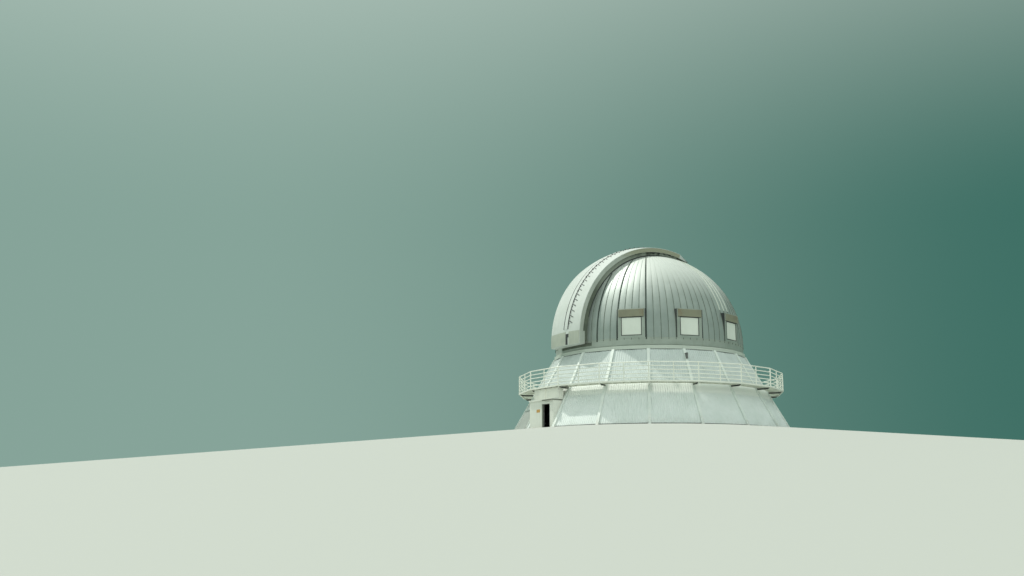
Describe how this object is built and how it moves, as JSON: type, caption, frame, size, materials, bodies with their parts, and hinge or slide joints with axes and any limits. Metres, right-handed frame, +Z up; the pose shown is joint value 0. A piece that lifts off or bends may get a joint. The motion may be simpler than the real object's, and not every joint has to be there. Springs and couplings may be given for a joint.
{
  "type": "observatory dome building",
  "caption": "Turning hemispherical observatory dome with parting slit shutters on a sloping many-sided house with a railed balcony and an entrance porch.",
  "frame": {"origin": "on the dome's turning axis, at ground level", "axes": "+Z up; -Y is the side with the entrance porch and the slit at rest; +X to the right of the entrance"},
  "size_m": [23.703, 23.5354, 16.0701],
  "materials": {
    "corrugated_cladding": "white paint on corrugated sheet, weathered",
    "white_steel": "white paint, weathered",
    "dome_aluminium": "dull weathered aluminium sheet",
    "shutter_aluminium": "pale weathered aluminium sheet",
    "vent_white": "clean white paint",
    "concrete_floor": "smooth grey concrete",
    "dark_metal": "dark grey paint",
    "sign_orange": "matt orange paint, bare of lettering"
  },
  "bodies": {
    "building": {"ground_floor": "concrete_floor", "entrance_bay": "corrugated_cladding", "lower_wall_east": "corrugated_cladding", "lower_wall_north": "corrugated_cladding", "lower_wall_west": "corrugated_cladding", "upper_wall_south_east": "corrugated_cladding", "upper_wall_north": "corrugated_cladding", "upper_wall_south_west": "corrugated_cladding", "leg_frame_south_east": "white_steel", "leg_frame_north": "white_steel", "leg_frame_south_west": "white_steel", "balcony_deck_south_east": "white_steel", "balcony_deck_north": "white_steel", "balcony_deck_south_west": "white_steel", "railing_south_east": "white_steel", "railing_north": "white_steel", "railing_south_west": "white_steel", "porch_front": "corrugated_cladding", "porch_side_left": "corrugated_cladding", "porch_side_right": "corrugated_cladding", "porch_roof": "white_steel", "porch_parapet": "white_steel", "door_frame": "dark_metal", "sign_plate": "sign_orange", "wall_lamp": "dark_metal"},
    "dome": {"dome_rim": "dome_aluminium", "shell_panel_1": "dome_aluminium", "shell_panel_2": "dome_aluminium", "shell_panel_3": "dome_aluminium", "shell_panel_4": "dome_aluminium", "shell_panel_5": "dome_aluminium", "shell_panel_6": "dome_aluminium", "shell_panel_7": "dome_aluminium", "vent_frame_1": "dome_aluminium", "vent_frame_2": "dome_aluminium", "vent_frame_3": "dome_aluminium", "vent_frame_4": "dome_aluminium", "vent_frame_5": "dome_aluminium", "vent_frame_6": "dome_aluminium", "vent_frame_7": "dome_aluminium", "vent_door_1": "vent_white", "vent_door_2": "vent_white", "vent_door_3": "vent_white", "vent_door_4": "vent_white", "vent_door_5": "vent_white", "vent_door_6": "vent_white", "vent_door_7": "vent_white", "slit_girder_left": "dome_aluminium", "slit_girder_right": "dome_aluminium", "slit_header": "dome_aluminium", "slit_sill": "dome_aluminium"},
    "shutter_left": {"shutter_left": "shutter_aluminium"},
    "shutter_right": {"shutter_right": "shutter_aluminium"},
    "entrance_door": {"entrance_door": "white_steel"}
  },
  "joints": [
    {"name": "dome_rotation", "type": "hinge", "parent": "building", "child": "dome", "pos_m": [0, 0, 6.6], "axis": [0, 0, 1], "continuous": true},
    {"name": "shutter_left_slide", "type": "slide", "parent": "dome", "child": "shutter_left", "axis": [-1, 0, 0], "range_m": [0, 2.54]},
    {"name": "shutter_right_slide", "type": "slide", "parent": "dome", "child": "shutter_right", "axis": [1, 0, 0], "range_m": [0, 1.66]},
    {"name": "entrance_door_swing", "type": "hinge", "parent": "building", "child": "entrance_door", "pos_m": [1.6015, -11.1077, 1.03], "axis": [0, 0, 1], "range_deg": [0, 90]}
  ]
}
